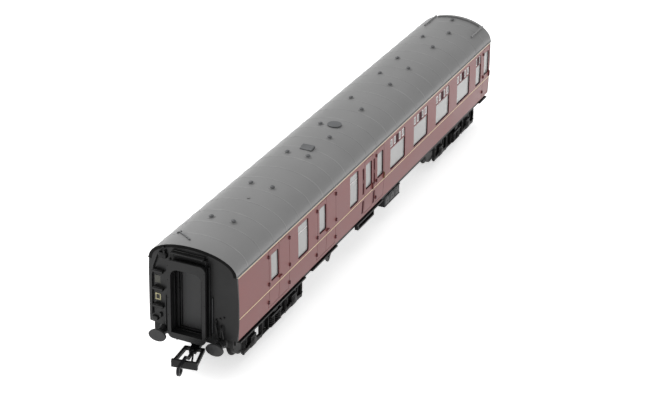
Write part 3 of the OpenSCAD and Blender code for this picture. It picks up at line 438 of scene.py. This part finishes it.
for side, s in SIDES.items():
    lines = Kit()
    side_bar(lines, s, -SIDE_END, SIDE_END, *WAIST_LINE, 0.03, -0.1)
    side_bar(lines, s, -SIDE_END, SIDE_END, *EAVES_LINE, 0.03, -0.1)
    lines.done("lining_gold_" + side, "coach", "gold", "maroon")
    edges = Kit()
    side_bar(edges, s, -SIDE_END, SIDE_END, 25.08, WAIST_LINE[0], 0.025, -0.1)
    side_bar(edges, s, -SIDE_END, SIDE_END, EAVES_LINE[1], 42.1, 0.025, -0.1)
    for x, w, z0, z1 in WINDOWS:
        # The seals line the window reveals; their dark colour is partly the seal itself and partly
        # painted reveal shade.
        side_frame(edges, s, x, w, z0, z1, 0.2, -0.12, BEHIND)
    edges.done("window_seals_and_reveal_shade_" + side, "coach", "seal_lining_reveal_shade", "maroon")
    hinges = Kit()
    for x in HINGES_X:
        for z in HINGES_Z:
            hinges.lathe(HINGE, (x, s * (half_at(z) + 0.05), z), Z, 14)
            for k in (-0.75, 0.75):
                hinges.rivet((x + k, s * half_at(z), z), (0, s, 0), 0.16)
    y = half_at(HANDLE_Z)
    for x in T_HANDLES_X:
        hinges.tube([(x - 0.4, s * (y + 0.28), 27.32), (x + 0.5, s * (y + 0.36), HANDLE_Z),
                    (x + 1.7, s * (y + 0.34), 27.24)], 0.27, 8)
    hinges.done("door_hinges_" + side, "coach", "hinge", "maroon")
    # Dark slabs fill each handrail slot and cover its rail bar: painted shade in the recesses.
    slot = Kit()
    for x in RAILS_X:
        for z0, z1 in RAILS_Z:
            for k in (-0.55, 0.55):
                side_bar(slot, s, x + k - 0.28, x + k + 0.28, z0 + 0.2, z1 - 0.2, -0.1, -0.62)
            side_bar(slot, s, x - 0.28, x + 0.28, z0 + 0.1, z1 - 0.1, -0.02, -0.3)
    slot.done("handrail_slots_" + side, "coach", "slot", "maroon")
    bars = Kit()
    pale = Kit()
    dark = Kit()
    bar_out, vent_out = -PANE + 0.35, -PANE + 0.16
    for x in WIDE:
        side_bar(bars, s, x - 7.7, x + 7.7, *BAR_Z, bar_out, BEHIND)
        side_bar(dark, s, x - 1.2, x + 1.2, *POST_Z, -PANE + 0.45, BEHIND)
        for k in (-1, 1):
            post = x + k * 4.3
            side_bar(bars, s, post - 0.4, post + 0.4, *POST_Z, -PANE + 0.3, BEHIND)
            for c, w in ((2.55, 2.6), (6.2, 2.9)):
                side_frame(pale, s, x + k * c, w, *VENT_Z, 0.6, vent_out, BEHIND)
    side_bar(bars, s, WIDE_END - 3.15, WIDE_END + 3.15, *BAR_Z, bar_out, BEHIND)
    side_bar(dark, s, WIDE_END - 0.8, WIDE_END + 0.8, *POST_Z, -PANE + 0.4, BEHIND)
    for k in (-1, 1):
        side_frame(pale, s, WIDE_END + k * 2.0, 2.2, *VENT_Z, 0.5, vent_out, BEHIND)
    for x, w in NO_VENTS:
        side_bar(pale, s, x - w / 2 + 0.4, x + w / 2 - 0.4, 36.4, 36.7, -PANE + 0.08, BEHIND)
    bars.done("window_bars_" + side, "coach", "maroon", "maroon", 30)
    dark.done("vent_posts_" + side, "coach", "slot", "maroon", 30)
    pale.done("vent_frames_" + side, "coach", "vent_frame", "clear", 30)
    grip = [(0.1, -1.35), (0.28, -1.15), (0.33, -0.6), (0.33, 0.6), (0.28, 1.15), (0.1, 1.35)]
    for start, places, material in (("door_grips_", GRIPS_X, "brass"),
                                    ("plain_door_grips_", PLAIN_GRIPS_X, "hinge")):
        grips = Kit()
        for x in places:
            grips.tube([(x, s * (y + out), HANDLE_Z + up) for out, up in grip], 0.3, 10)
        grips.done(start + side, "coach", material, "maroon")

# ---- Ends ----

PIPE_R, THIN_PIPE_R = 0.33, 0.32
DOOR_BACK = END_X - 1.05
PLATE_Y = -13.6


def wall(y, out):
    """How far along the model a point lies that stands out from an end's wall at y."""
    return END_X - bow(y) + out


for name, end in ENDS.items():
    place = end_place(end)
    k = Kit(place)
    k.box((END_X + 0.75, -0.5, 47.95), (2.3, 13.2, 0.5), bevel=0.12)
    k.box((END_X + 0.2, -0.5, 48.35), (0.8, 12.6, 0.7), bevel=0.1)
    for y in (-6.2, 5.2):
        k.box((END_X + 0.7, y, 47.4), (1.6, 0.6, 0.9), bevel=0.08)
    k.box((wall(-14.9, 0.3), -14.9, 18.7), (1.2, 2.4, 1.6), bevel=0.2)
    k.box((wall(-12.6, 0.25), -12.6, 20.6), (0.9, 1.1, 1.8), bevel=0.15)
    k.tube([(wall(9.9, 0.4), 9.9, 22.9), (wall(9.9, 0.9), 10.0, 23.6), (wall(9.9, 1.3), 10.3, 22.9),
            (wall(10.5, 1.4), 10.6, 20.8), (wall(10.8, 1.2), 10.8, 18.6),
            (wall(10.8, 0.6), 10.6, 16.8)], PIPE_R, 8)
    k.tube([(wall(11.6, 0.4), 11.6, 21.4), (wall(11.6, 1.0), 11.8, 22.3),
            (wall(12.0, 1.2), 12.5, 21.4), (wall(12.4, 1.1), 12.8, 19.4),
            (wall(12.4, 0.4), 12.6, 17.3)], THIN_PIPE_R, 8)
    for y in (9.9, 11.6):
        for z in (18.6, 20.6):
            k.box((wall(y, 0.3), y, z), (0.8, 1.1, 0.4), bevel=0.05)
    k.box((wall(11.4, 0.2), 11.4, 24.9), (0.5, 0.7, 0.9), bevel=0.12)
    k.rod((wall(12.8, 0.1), 12.8, 25.6), (wall(12.8, 0.4), 12.8, 25.6), 0.4, 12)
    k.done("end_details_" + name, "coach", "black_body", "black_body")

    k = Kit(place)
    for z in (24.2, 31.2, 38.2):
        k.box((wall(-13, 0.55), -13.0, z + 0.35), (1.75, 4.25, 0.95), bevel=0.3)
        k.box((wall(-13, 0.3), -13.0, z - 0.45), (1.1, 3.2, 1.1), bevel=0.3)
    k.box((wall(-10.9, 0.4), -10.9, 45.2), (1.5, 3.4, 2.0), bevel=0.4)
    k.rod((wall(-10.7, 0.6), -10.2, 45.8), (wall(-10.7, 0.6), -10.2, 47.4), 0.5, 10)
    k.tube([(wall(-11, 0.35), -10.4, 48.6), (wall(-12.2, 0.5), -12.2, 46.9),
            (wall(-13.6, 0.5), -13.6, 44.3), (wall(-15.3, 0.45), -15.2, 40.0),
            (wall(-16, 0.4), -16.0, 36.0), (wall(-16.2, 0.4), -16.2, 20.0)], PIPE_R, 8)
    k.tube([(wall(-9.8, 0.4), -9.9, 29.6), (wall(-9.8, 0.8), -9.7, 28.6),
            (wall(-9.8, 0.8), -9.9, 23.0), (wall(-9.8, 0.5), -10.0, 17.6)], 0.38, 8)
    k.box((wall(0, 0.4), -0.5, 46.75), (1.6, 14.6, 1.7), bevel=0.2)
    for y in (7.6, -7.9):
        k.box((wall(7.6, 0.35), y, 31.0), (1.3, 0.8, 28.0), bevel=0.15)
    k.done("end_steps_" + name, "coach", "black_frame", "black_body")

    k = Kit(place)
    k.rod((wall(8.6, 0.5), 8.7, 19.0), (wall(8.6, 0.5), 8.7, 33.0), 0.22, 8)
    k.done("end_conduit_" + name, "coach", "battery_grey", "black_body")

    k = Kit(place)
    k.box((wall(PLATE_Y, 0.05), PLATE_Y, 34.8), (0.2, 2.3, 3.0), bevel=0.05)
    k.done("worn_label_" + name, "coach", "old_label", "black_body")
    k = Kit(place)
    for y in (-14.55, -12.65):
        k.box((wall(y, 0.06), y, 27.7), (0.2, 0.4, 2.6), bevel=0.04)
    for z in (26.6, 28.8):
        k.box((wall(PLATE_Y, 0.06), PLATE_Y, z), (0.2, 2.3, 0.4), bevel=0.04)
    k.done("label_border_" + name, "coach", "label", "black_body")

    k = Kit(place)
    for y in (-4.9, 4.9):
        k.box((DOOR_BACK + 0.5, y, 29.4), (1.1, 0.7, 24.0), bevel=0.1)
        k.box((DOOR_BACK + 0.3, y * 0.83, 29.4), (0.6, 0.5, 24.0), bevel=0.1)
        k.box((DOOR_BACK + 1.9, y * 1.22, 29.4), (0.5, 0.45, 24.6), bevel=0.1)
    k.box((DOOR_BACK + 0.4, 0, 17.9), (0.9, 10.6, 0.7), bevel=0.08)
    k.box((DOOR_BACK + 1.6, 0, 17.5), (0.6, 11.6, 0.4), bevel=0.08)
    k.box((DOOR_BACK + 0.4, 0, 41.4), (0.9, 10.6, 0.6), bevel=0.08)
    k.rod((DOOR_BACK + 0.4, -4.6, 33.5), (DOOR_BACK + 1.3, -4.6, 33.5), 0.35, 12)
    k.done("gangway_door_frames_" + name, "coach", "black_frame", "door_grey")

    k = Kit(place)
    n = 40
    rims = []
    for half, rise in ((17.5, 8.95), (16.3, 7.75)):
        rim = []
        for t in range(n + 1):
            a = math.pi * t / n
            y = half * math.cos(a)
            rim.append(Vector((wall(y, 0.13), y, EAVES_Z + rise * math.sin(a))))
        rims.append(rim)
    outer, inner = rims
    for t in range(n):
        q = [outer[t], outer[t + 1], inner[t + 1], inner[t]]
        k.sheet(q, [p - 0.2 * X for p in q])
    # The rim is painted near-black as the shade under the roof's edge.
    k.done("roof_end_rim_" + name, "coach", "shade_black", "black_body")

    k = Kit(place)
    for i in range(5):
        x = END_X + 0.95 + 0.38 * i
        for y in (-6.72, 6.72):
            k.box((x, y, 29.8), (0.12, 0.5, 27.5), bevel=0.03)
        k.box((x, 0, 44.6), (0.12, 12.6, 0.9), bevel=0.03)
    for z in (17.5, 24.0, 31.0, 38.0, 43.6):
        for y in (-7.25, 7.25):
            k.rivet((END_X + 3.38, y, z), X, 0.16)
    # The bellows are black plastic, painted darker still as shade.
    k.done("bellows_" + name, "coach", "shade_black", "black_body")

    k = Kit(place)
    housing = [(2.3, -0.3), (2.3, 0.5), (1.7, 0.75), (1.62, 1.9), (1.75, 2.0), (1.75, 2.5), (1.3, 2.6)]
    base, bolts = END_X - 2.2, 1.95
    for y in (-BUFFER_Y, BUFFER_Y):
        k.lathe(housing, (base, y, BUFFER_Z), X, 20)
        for a in (45, 135, 225, 315):
            c = math.radians(a)
            k.rivet((base + 0.5, y + bolts * math.cos(c), BUFFER_Z + bolts * math.sin(c)), X, 0.22)
    k.rod((128.2, 0, 14.3), (129.4, 0, 14.3), 0.55, 12)
    k.tube([(128.3, 4.2, 15.4), (129.9, 4.4, 15.2), (130.6, 4.5, 13.6), (130.5, 4.4, 12.8)], 0.35, 8)
    k.tube([(128.3, -5.2, 15.4), (129.8, -5.3, 15.3), (130.4, -5.4, 14.0), (130.3, -5.3, 13.0)], 0.3, 8)
    k.done("buffer_housings_" + name, "coach", "buffer_black", "buffer_black")

# ---- Roof fittings ----

RIB_PITCH, RIBS_EACH_WAY = 10.4, 12
RIB = ((-0.42, -0.1), (-0.36, 0.03), (-0.14, 0.085), (0.14, 0.085), (0.36, 0.03), (0.42, -0.1))
k = Kit()
steps = 48
for i in range(RIBS_EACH_WAY):
    for e in (-1, 1):
        x = e * RIB_PITCH * (i + 0.5)
        rows = []
        for t in range(steps + 1):
            a = math.pi * (0.012 + 0.976 * t / steps)
            p = Vector((x, ROOF_HALF * math.cos(a), EAVES_Z + ROOF_RISE * math.sin(a)))
            n = Vector((0, math.cos(a) / ROOF_HALF, math.sin(a) / ROOF_RISE)).normalized()
            rows.append([k.bm.verts.new(p + X * dx + n * dn) for dx, dn in RIB])
        for p, q in zip(rows, rows[1:]):
            for c in range(len(RIB) - 1):
                k.bm.faces.new((p[c], p[c + 1], q[c + 1], q[c]))
        k.bm.faces.new(rows[0])
        k.bm.faces.new(rows[-1])
# The ribs take the lighter rib colour, a painted highlight on their tops.
k.done("roof_ribs", "coach", "rib", "roof_grey", 60)


def on_roof(x, y, out):
    return Vector((x, y, roof_z(y, 0.07) + out))


k = Kit()
n = 8
for (ax, ay), (bx, by) in (((-119.2, 9.8), (-125.2, 2.4)), ((-118.6, 9.2), (-119.9, 10.4))):
    k.tube([on_roof(ax + (bx - ax) * i / n, ay + (by - ay) * i / n, 0.28) for i in range(n + 1)],
           0.3, 8)
k.done("roof_bracket", "coach", "vent_grey", "vent_grey")

VENT_BASE = [(1.5, -0.1), (1.45, 0.08), (0.9, 0.12), (0.8, 0.2)]
VENTS = ((4.4, 0.13, (-105.4, -74, -43, -12.5, 17.6, 48, 67.5, 97)),
         (-4.4, -0.13, (-105.4, -74, -43, -23, 8.3, 38.2, 58.6, 87, 106.8)),
         (0, 0, (122.5,)))
k = Kit()
for y, lean, places in VENTS:
    for x in places:
        k.lathe(VENT_BASE, on_roof(x, y, -0.02), (0, lean, 1), 20)
k.rod(on_roof(-86.2, -0.7, -0.2), on_roof(-86.2, -0.7, 0.3), 0.55, 16)
k.done("ventilator_bases", "coach", "roof_grey", "roof_grey")

# ---- Under the floor ----

BOX_X, BOX_PITCH, BOX_Y = 16.3, 5.25, 16.2
SOLE_Y = 16.2
for side, s in SIDES.items():
    k = Kit()
    y = s * BOX_Y
    k.box((BOX_X, y + s * 0.12, 13.55), (16.2, 0.5, 0.5), bevel=0.1)
    k.box((BOX_X, y + s * 0.1, 9.3), (16.2, 0.4, 0.4), bevel=0.1)
    for i in (-1, 0, 1):
        x = BOX_X + BOX_PITCH * i
        k.box((x, y + s * 0.06, 11.4), (4.6, 0.35, 3.4), bevel=0.15)
        k.box((x - 1.2, y + s * 0.22, 13.0), (0.45, 0.4, 0.8), bevel=0.08)
        k.box((x + 1.2, y + s * 0.22, 13.0), (0.45, 0.4, 0.8), bevel=0.08)
        k.box((x, y + s * 0.25, 11.2), (1.1, 0.25, 0.25), bevel=0.05)
    k.done("battery_lids_" + side, "coach", "battery_grey", "battery_grey")
    # Black plates at the box ends and strips on the lids: painted shade for the recesses and gaps
    # around the boxes.
    k = Kit()
    for x in (8.42, 24.18):
        k.box((x, s * 12.4, 11.4), (0.16, 7.2, 4.5), bevel=0.04)
    for x in (12.6, 17.6, 22.2):
        k.box((x, y + s * 0.3, 13.6), (2.2, 0.3, 0.75), bevel=0.04)
    k.done("battery_recess_shade_" + side, "coach", "black_frame", "battery_grey")
    k = Kit()
    for x in (-110, -90, -74, -58, -38, -22, -8, 30, 48, 66, 84, 100, 118):
        k.box((x, s * 15.1, 14.7), (0.5, 0.9, 1.5), bevel=0.06)
    for i in range(60):
        k.rivet((-121 + 4.1 * i, s * SOLE_Y, 14.15), (0, s, 0), 0.13)
    k.tube([(x, s * 13.2, z) for x, z in
            ((-62, 14.6), (-30, 14.4), (0, 14.4), (28, 14.4), (62, 14.6))], 0.35, 8)
    for x in (-118, -108, -98, -88, -78, -60, -50, -20, -3, 119.5, 124.5):
        k.box((x, s * 16.6, 14.6), (0.5, 0.9, 0.6), bevel=0.06)
    k.done("solebar_details_" + side, "coach", "black_frame", "black_frame")

CYLINDERS_X = (-31, 33)
CYLINDER = [(3.55, 9.45), (3.55, 10.0), (3.4, 10.1), (3.4, 12.4), (3.6, 12.5), (3.6, 12.9), (3.4, 13.0)]
CYLINDER_FOOT = [(1.2, 8.6), (1.2, 9.4), (3.3, 9.6)]
DYNAMO = (-55, 0, 11.6)
DYNAMO_PARTS = ([(2.55, -3.2), (2.7, -3.0), (2.7, -2.4), (2.5, -2.2)],
                [(0, -3.9), (0.9, -3.8), (1.0, -3.0), (2.5, -2.9)],
                [(2.5, 2.2), (2.7, 2.4), (2.7, 3.0), (2.55, 3.2)])
SHAFT_X = -47.5
k = Kit()
for x in CYLINDERS_X:
    k.lathe(CYLINDER, (x, 0, 0), Z, 28)
    k.lathe(CYLINDER_FOOT, (x, 0, 0), Z, 20)
    k.rod((x, -2.2, 10.9), (x, -9.2, 11.2), 0.45, 10)
    k.tube([(x + 3.2, 0, 11.4), (x + 8, 0.6, 11.6), (x + 12, 2.0, 12.0), (x + 20, 2.4, 12.6)], 0.35, 8)
for x, reach, z in ((-44, 6.4, 11.6), (22, 7.4, 11.3), (-22, 7.4, 11.3)):
    k.rod((x, -reach, z), (x, reach, z), 0.35, 10)
k.rod((SHAFT_X, -15.6, 11.2), (SHAFT_X, 15.6, 11.2), 0.4, 12)
k.tube([(SHAFT_X, 0, 11.2), (-40, 0, 10.9), (-34.6, 0, 10.7)], 0.3, 8)
for profile in DYNAMO_PARTS:
    k.lathe(profile, DYNAMO, Y, 24)
k.done("vacuum_gear", "coach", "black_frame", "black_frame")

# ---- Bogies ----

COVER = [(1.75, -0.15), (1.75, 0.1), (1.3, 0.25), (1.2, 0.45), (0.5, 0.6), (0, 0.62)]
LEAVES = (7.2, 5.8, 4.4, 3.0)       # half lengths, from the lowest up
HANGER_X = 6.95
BEAM_X = 21.4
HEADSTOCK_Z = 11.9
TYRE = [(6.32, 8.12), (6.34, 8.6), (6.26, 10.0), (6.24, 10.08), (5.45, 10.1), (5.4, 9.9)]


def face_y(s, out=0.0):
    """Where a point lies that stands out from the side frame on side s."""
    return s * (FRAME_FACE + out)


def coil(x, y, z, rx, ry, turn, rise, count):
    """Points up a spring; each is turn radians and rise millimetres on from the last."""
    return [(x + rx * math.cos(t * turn), y + ry * math.sin(t * turn), z + t * rise)
            for t in range(count)]


for name, end in ENDS.items():
    body = "bogie_" + name
    k = Kit(bogie_place(end))
    for s in (-1, 1):
        for ax in (-AXLE_X, AXLE_X):
            out = face_y(s, 1.3)
            k.lathe(COVER, (ax, out, AXLE_Z), (0, s, 0), 20)
            for bx in (-1.5, 1.5):
                for bz in (-1.3, 1.5):
                    k.rivet((ax + bx, out, AXLE_Z + bz), (0, s, 0), 0.24)
            for i, reach in enumerate(LEAVES):
                k.box((ax, face_y(s, 0.65), 6.3 + 0.28 * i), (2 * reach, 1.1, 0.24), bevel=0.05)
            k.box((ax, face_y(s, 0.7), 6.2), (1.4, 1.4, 1.6), bevel=0.12)
            for hx in (ax - HANGER_X, ax + HANGER_X):
                y = face_y(s, 0.6)
                k.rod((hx, y, 4.9), (hx, y, 5.4), 0.5, 8)
                k.lathe([(0.85, 0), (0.85, 0.3), (0.5, 0.35)], (hx, y, 6.8), Z, 12)
                k.box((hx, face_y(s, 0.4), 11.5), (1.7, 1.3, 0.9), bevel=0.15)
                k.tube(coil(hx, y, 7.1, 0.62, 0.62, 1.2566, 0.092, 42), 0.17, 5)
            for z in (9.5, 11.8):
                k.box((ax, face_y(s, 0.2), z), (4.9, 0.7, 0.35), bevel=0.06)
        for cx in (-2.4, 2.4):
            k.tube(coil(cx, face_y(s, 1.2), 6.7, 1.35, 1.0, 0.7854, 0.11, 34), 0.3, 6)
        k.box((0, face_y(s, 1.0), 6.4), (8.6, 2.2, 0.6), bevel=0.15)
        k.box((0, face_y(s, 1.1), 10.75), (8.8, 2.6, 0.8), bevel=0.15)
        k.box((0, face_y(s, 0.9), 12.0), (3.4, 1.9, 1.9), bevel=0.25)
        for cx in (-4.9, 4.9):
            k.box((cx, face_y(s, 0.7), 8.3), (0.6, 1.2, 5.6), bevel=0.1)
        k.box((0, face_y(s, 0.15), 13.1), (41.0, 0.7, 0.35), bevel=0.08)
        k.box((0, face_y(s, 0.75), 5.7), (26.0, 0.8, 0.7), bevel=0.12)
        for gx in (-AXLE_X - 4.4, -AXLE_X + 4.4, AXLE_X + 4.4):
            k.box((gx, face_y(s, -0.05), 8.7), (4.6, 0.4, 6.2), bevel=0.08)
            k.box((gx, face_y(s, 0.25), 9.2), (0.5, 0.5, 3.6), bevel=0.06)
        for gx in (-7.6, 7.6):
            k.box((gx, face_y(s, -0.05), 7.9), (4.2, 0.4, 4.4), bevel=0.08)
        for i in range(17):
            x = -19.2 + 2.4 * i
            if abs(x) > 2.2:
                k.rivet((x, face_y(s), 12.55), (0, s, 0), 0.17)
        for x in (-9.5, -7.2, 7.2, 9.5):
            k.rivet((x, face_y(s), 11.3), (0, s, 0), 0.17)
        k.tube([(x, face_y(s, 0.4), z) for x, z in ((-9.8, 6.3), (-4, 6.0), (4, 6.0), (9.8, 6.3))],
               0.3, 8)
    k.box((-BEAM_X, 0, HEADSTOCK_Z), (0.9, 25.4, 1.1), bevel=0.12)
    for x in (-BEAM_X, BEAM_X):
        for y in (-12.4, 12.4):
            k.box((x, y, HEADSTOCK_Z), (1.2, 1.0, 2.2), bevel=0.15)
    k.done("bogie_springs_" + name, body, "black_frame", "black_frame")

    k = Kit(coupling_place(end))
    k.box((28.5, 0, 11.9), (6.0, 2.6, 0.5), bevel=0.12)
    k.rod((COUPLING_MOUNT, 0, 10.4), (COUPLING_MOUNT, 0, 12.2), 0.9, 16)
    k.lathe([(1.3, 0), (1.3, 0.35), (0.8, 0.5), (0, 0.55)], (COUPLING_MOUNT, 0, 12.1), Z, 16)
    for y in (-4.0, 4.0):
        k.rivet((47.75, y, 12.0), Z, 0.3)
    k.done("coupling_mount_" + name, body, "black_frame", "black_frame")

    hook = "hook_" + name
    k = Kit(coupling_place(end))
    k.tube([(40.4, 0.75, 10.8), (41.6, 1.0, 11.0), (43.2, 1.3, 11.0), (44.5, 1.5, 10.5),
            (44.9, 1.55, 9.8), (44.5, 1.5, 9.1), (43.4, 1.3, 8.7), (41.8, 1.0, 9.4)],
           0.2, 8, closed=True)
    k.rod((41.0, 0.4, 10.6), (41.0, 0.9, 10.6), 0.3, 10)
    k.done("hook_loop_" + name, hook, "hook_black", "hook_black")

for i, (end, outer) in enumerate(((-1, 1), (-1, -1), (1, -1), (1, 1))):
    k = Kit(bogie_place(end) @ Matrix.Translation((outer * AXLE_X, 0, 0)))
    for s in (-1, 1):
        k.lathe(TYRE, (0, 0, AXLE_Z), (0, s, 0), 60)
    k.done("tyres_%d" % (i + 1), "wheels_%d" % (i + 1), "tread", "wheel_black", 30)

# ---- Studio ----

FLOOR_HALF, FLOOR_Z = 6, -0.00002   # metres, like the lights and the camera
FLOOR_GLOW, SKY = 0.62, 0.55
WHITE = (1, 1, 1, 1)
LENS, SENSOR = 100.32, 36.0
CAMERA_AT = (-0.6137, -0.2680, 0.3414)
CAMERA_TURN = (24.240, 26.216, 1.286)

floor_mat = finish("studio_floor", (0.93, 0.93, 0.93), (0.915, 0.915, 0.915), 0.6, 4, 0.02, 300)
lit = floor_mat.node_tree.nodes["Principled BSDF"]
lit.inputs["Emission Color"].default_value = WHITE
lit.inputs["Emission Strength"].default_value = FLOOR_GLOW
me = bpy.data.meshes.new("studio_floor")
me.from_pydata([(FLOOR_HALF * x, FLOOR_HALF * y, FLOOR_Z)
                for x, y in ((-1, -1), (1, -1), (1, 1), (-1, 1))], [], [(0, 1, 2, 3)])
me.materials.append(floor_mat)
floor = bpy.data.objects.new("studio_floor", me)
bpy.context.scene.collection.objects.link(floor)

world = bpy.data.worlds.new("studio")
bpy.context.scene.world = world
world.use_nodes = True
world.node_tree.nodes["Background"].inputs["Color"].default_value = WHITE
world.node_tree.nodes["Background"].inputs["Strength"].default_value = SKY


def softbox(name, place, size, power):
    """A rectangular light that faces the origin."""
    light = bpy.data.lights.new(name, "AREA")
    light.shape = "RECTANGLE"
    light.size, light.size_y = size
    light.energy = power
    obj = bpy.data.objects.new(name, light)
    obj.location = place
    obj.rotation_euler = (-Vector(place)).to_track_quat("-Z", "Y").to_euler()
    bpy.context.scene.collection.objects.link(obj)


softbox("key_left", (0.1, 1.1, 1.1), (1.8, 1.2), 15.0)
softbox("top", (-0.2, 0.0, 1.7), (1.8, 1.6), 8.0)

cam = bpy.data.cameras.new("camera")
cam.sensor_width = SENSOR
cam.lens = LENS
cam.clip_start = 0.01
camera = bpy.data.objects.new("camera", cam)
yaw, pitch, roll = (math.radians(a) for a in CAMERA_TURN)
ahead = Vector((math.cos(pitch) * math.cos(yaw), math.cos(pitch) * math.sin(yaw), -math.sin(pitch)))
level = ahead.cross(Z).normalized()
upright = level.cross(ahead)
right = math.cos(roll) * level + math.sin(roll) * upright
up = -math.sin(roll) * level + math.cos(roll) * upright
turn = Matrix((right, up, -ahead)).transposed()
camera.matrix_world = Matrix.Translation(CAMERA_AT) @ turn.to_4x4()
bpy.context.scene.collection.objects.link(camera)
bpy.context.scene.camera = camera
bpy.context.scene.view_settings.view_transform = "Standard"
